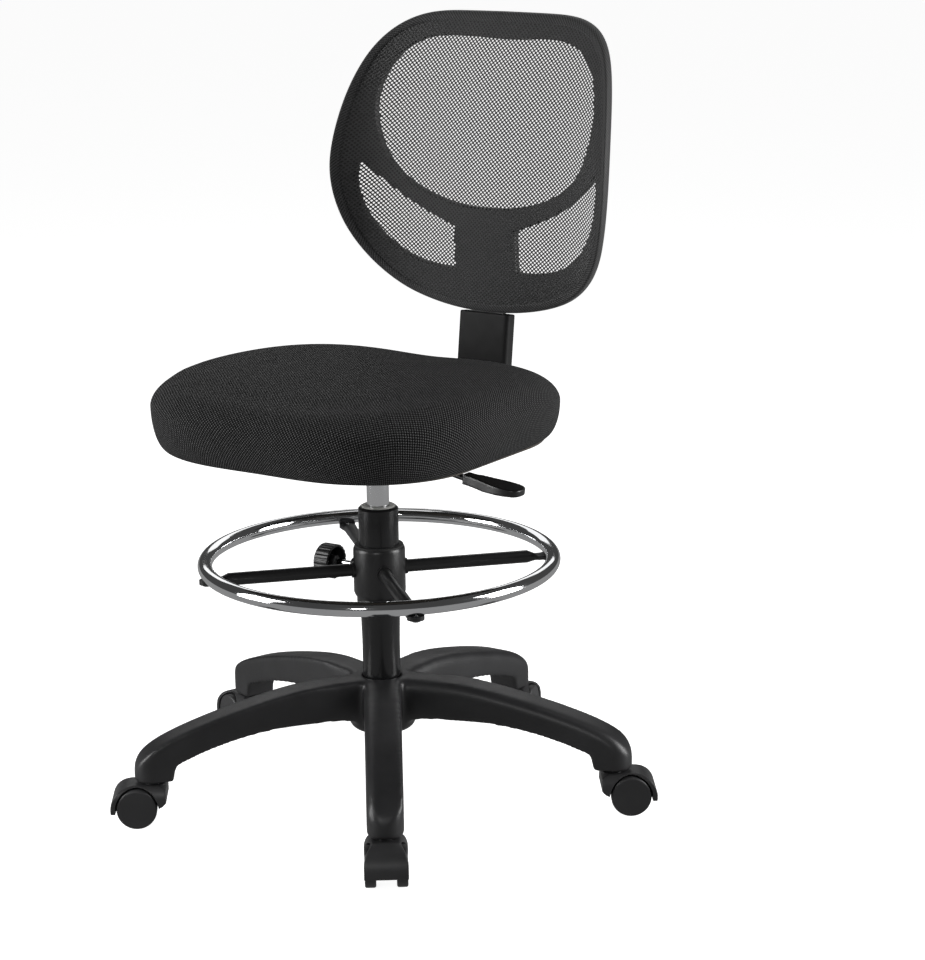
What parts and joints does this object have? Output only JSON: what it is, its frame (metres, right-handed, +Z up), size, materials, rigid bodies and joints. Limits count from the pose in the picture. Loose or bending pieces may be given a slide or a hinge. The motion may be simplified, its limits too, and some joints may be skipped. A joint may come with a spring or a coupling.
{
  "type": "drafting chair",
  "caption": "Armless drafting chair on a five-arm caster base with a gas lift, chrome foot ring, padded seat and curved mesh back.",
  "frame": {"origin": "on the floor, on the axis of the gas lift column", "axes": "+Z up; the seat faces -Y, the back stands on the +Y side, the lift lever points to +X"},
  "size_m": [0.6861, 0.6577, 0.9587],
  "materials": {
    "base_nylon": "moulded black glass-filled nylon, fine texture",
    "caster_nylon": "moulded black nylon",
    "wheel_nylon": "black nylon wheel, semi-gloss",
    "column_black": "gloss black powder coat",
    "bracket_black": "satin black powder coat",
    "chrome": "bright chrome plate",
    "steel": "plain steel",
    "sleeve_nylon": "black acetal bush",
    "rubber_black": "black rubber",
    "brass": "brass pad",
    "cover_satin": "satin black plastic sleeve",
    "frame_black": "black polypropylene",
    "back_mesh": "black see-through mesh with a diagonal weave",
    "seat_fabric": "black spacer mesh over foam",
    "plywood": "moulded plywood",
    "lever_plastic": "black plastic paddle",
    "knob_plastic": "black ribbed plastic knob"
  },
  "bodies": {
    "base": {"base_star": "base_nylon", "column_tube": "column_black", "column_guide_sleeve": "sleeve_nylon", "column_end_plate": "steel", "bearing_lower_race": "steel", "bearing_balls": "steel", "caster_stems": "steel"},
    "swivel_rod": {"piston_rod": "steel", "piston_head": "steel", "bearing_upper_race": "steel", "rod_clip": "steel", "column_bumper": "rubber_black"},
    "seat": {"gas_cylinder": "chrome", "cylinder_seal": "rubber_black", "seat_plate": "bracket_black", "seat_board": "plywood", "tee_nuts": "steel", "seat_cushion": "seat_fabric", "seat_plate_bolts": "steel", "back_bar": "bracket_black", "back_bar_bolts": "steel", "back_bar_cover": "cover_satin", "back_frame": "frame_black", "back_mesh": "back_mesh", "back_frame_screws": "steel", "lever_pivot_pin": "steel"},
    "lever": {"lever_rod": "bracket_black", "lever_paddle": "lever_plastic"},
    "release_pin": {"release_pin": "steel"},
    "footring_slider": {"footring_bush": "sleeve_nylon"},
    "footring": {"footring_hub": "bracket_black", "footring_spokes": "bracket_black", "footring_ring": "chrome", "footring_screws": "steel"},
    "clamp_pad": {"clamp_pad": "brass"},
    "clamp_knob": {"clamp_screw": "chrome", "clamp_knob": "knob_plastic"},
    "caster_1": {"caster_1_housing": "caster_nylon", "caster_1_axle": "steel"},
    "caster_1_left": {"caster_1_wheel_left": "wheel_nylon"},
    "caster_1_right": {"caster_1_wheel_right": "wheel_nylon"},
    "caster_2": {"caster_2_housing": "caster_nylon", "caster_2_axle": "steel"},
    "caster_2_left": {"caster_2_wheel_left": "wheel_nylon"},
    "caster_2_right": {"caster_2_wheel_right": "wheel_nylon"},
    "caster_3": {"caster_3_housing": "caster_nylon", "caster_3_axle": "steel"},
    "caster_3_left": {"caster_3_wheel_left": "wheel_nylon"},
    "caster_3_right": {"caster_3_wheel_right": "wheel_nylon"},
    "caster_4": {"caster_4_housing": "caster_nylon", "caster_4_axle": "steel"},
    "caster_4_left": {"caster_4_wheel_left": "wheel_nylon"},
    "caster_4_right": {"caster_4_wheel_right": "wheel_nylon"},
    "caster_5": {"caster_5_housing": "caster_nylon", "caster_5_axle": "steel"},
    "caster_5_left": {"caster_5_wheel_left": "wheel_nylon"},
    "caster_5_right": {"caster_5_wheel_right": "wheel_nylon"}
  },
  "joints": [
    {"name": "seat_swivel", "type": "hinge", "parent": "base", "child": "swivel_rod", "pos_m": [0, 0, 0.09], "axis": [0, 0, 1], "continuous": true},
    {"name": "seat_lift", "type": "slide", "parent": "swivel_rod", "child": "seat", "axis": [0, 0, 1], "range_m": [0, 0.19]},
    {"name": "lever_lift", "type": "hinge", "parent": "seat", "child": "lever", "pos_m": [0.052, 0, 0.44112], "axis": [0, -1, 0], "range_deg": [0, 5], "stiffness_Nm_per_rad": 12, "springref_deg": -2.29},
    {"name": "release_pin_press", "type": "slide", "parent": "seat", "child": "release_pin", "axis": [0, 0, -1], "range_m": [0, 0.0048]},
    {"name": "footring_height", "type": "slide", "parent": "base", "child": "footring_slider", "axis": [0, 0, 1], "range_m": [-0.09, 0.045]},
    {"name": "footring_turn", "type": "hinge", "parent": "footring_slider", "child": "footring", "pos_m": [0, 0, 0.29], "axis": [0, 0, 1], "continuous": true},
    {"name": "clamp_pad_travel", "type": "slide", "parent": "footring", "child": "clamp_pad", "axis": [-0.9994, -0.0349, 0], "range_m": [0, 0.002]},
    {"name": "clamp_knob_turn", "type": "hinge", "parent": "clamp_pad", "child": "clamp_knob", "pos_m": [-0.06996, -0.00244, 0.293], "axis": [-0.9994, -0.0349, 0], "range_deg": [0, 540]},
    {"name": "caster_1_swivel", "type": "hinge", "parent": "base", "child": "caster_1", "pos_m": [0.17663, -0.24311, 0.05], "axis": [0, 0, 1], "continuous": true},
    {"name": "caster_1_left_spin", "type": "hinge", "parent": "caster_1", "child": "caster_1_left", "pos_m": [0.1878, -0.25848, 0.025], "axis": [-0.809, -0.5878, 0], "continuous": true},
    {"name": "caster_1_right_spin", "type": "hinge", "parent": "caster_1", "child": "caster_1_right", "pos_m": [0.1878, -0.25848, 0.025], "axis": [-0.809, -0.5878, 0], "continuous": true},
    {"name": "caster_2_swivel", "type": "hinge", "parent": "base", "child": "caster_2", "pos_m": [0.28579, 0.09286, 0.05], "axis": [0, 0, 1], "continuous": true},
    {"name": "caster_2_left_spin", "type": "hinge", "parent": "caster_2", "child": "caster_2_left", "pos_m": [0.30116, 0.10403, 0.025], "axis": [0.5878, -0.809, 0], "continuous": true},
    {"name": "caster_2_right_spin", "type": "hinge", "parent": "caster_2", "child": "caster_2_right", "pos_m": [0.30116, 0.10403, 0.025], "axis": [0.5878, -0.809, 0], "continuous": true},
    {"name": "caster_3_swivel", "type": "hinge", "parent": "base", "child": "caster_3", "pos_m": [0, 0.3005, 0.05], "axis": [0, 0, 1], "continuous": true},
    {"name": "caster_3_left_spin", "type": "hinge", "parent": "caster_3", "child": "caster_3_left", "pos_m": [-0.00556, 0.31867, 0.025], "axis": [0.9563, 0.2924, 0], "continuous": true},
    {"name": "caster_3_right_spin", "type": "hinge", "parent": "caster_3", "child": "caster_3_right", "pos_m": [-0.00556, 0.31867, 0.025], "axis": [0.9563, 0.2924, 0], "continuous": true},
    {"name": "caster_4_swivel", "type": "hinge", "parent": "base", "child": "caster_4", "pos_m": [-0.28579, 0.09286, 0.05], "axis": [0, 0, 1], "continuous": true},
    {"name": "caster_4_left_spin", "type": "hinge", "parent": "caster_4", "child": "caster_4_left", "pos_m": [-0.30353, 0.09967, 0.025], "axis": [0.3584, 0.9336, 0], "continuous": true},
    {"name": "caster_4_right_spin", "type": "hinge", "parent": "caster_4", "child": "caster_4_right", "pos_m": [-0.30353, 0.09967, 0.025], "axis": [0.3584, 0.9336, 0], "continuous": true},
    {"name": "caster_5_swivel", "type": "hinge", "parent": "base", "child": "caster_5", "pos_m": [-0.17663, -0.24311, 0.05], "axis": [0, 0, 1], "continuous": true},
    {"name": "caster_5_left_spin", "type": "hinge", "parent": "caster_5", "child": "caster_5_left", "pos_m": [-0.192, -0.25428, 0.025], "axis": [-0.5878, 0.809, 0], "continuous": true},
    {"name": "caster_5_right_spin", "type": "hinge", "parent": "caster_5", "child": "caster_5_right", "pos_m": [-0.192, -0.25428, 0.025], "axis": [-0.5878, 0.809, 0], "continuous": true}
  ],
  "couplings": [
    {"joint": "release_pin_press", "follows": "lever_lift", "m_per_rad": 0.052},
    {"joint": "clamp_pad_travel", "follows": "clamp_knob_turn", "m_per_rad": 0.00019894}
  ]
}
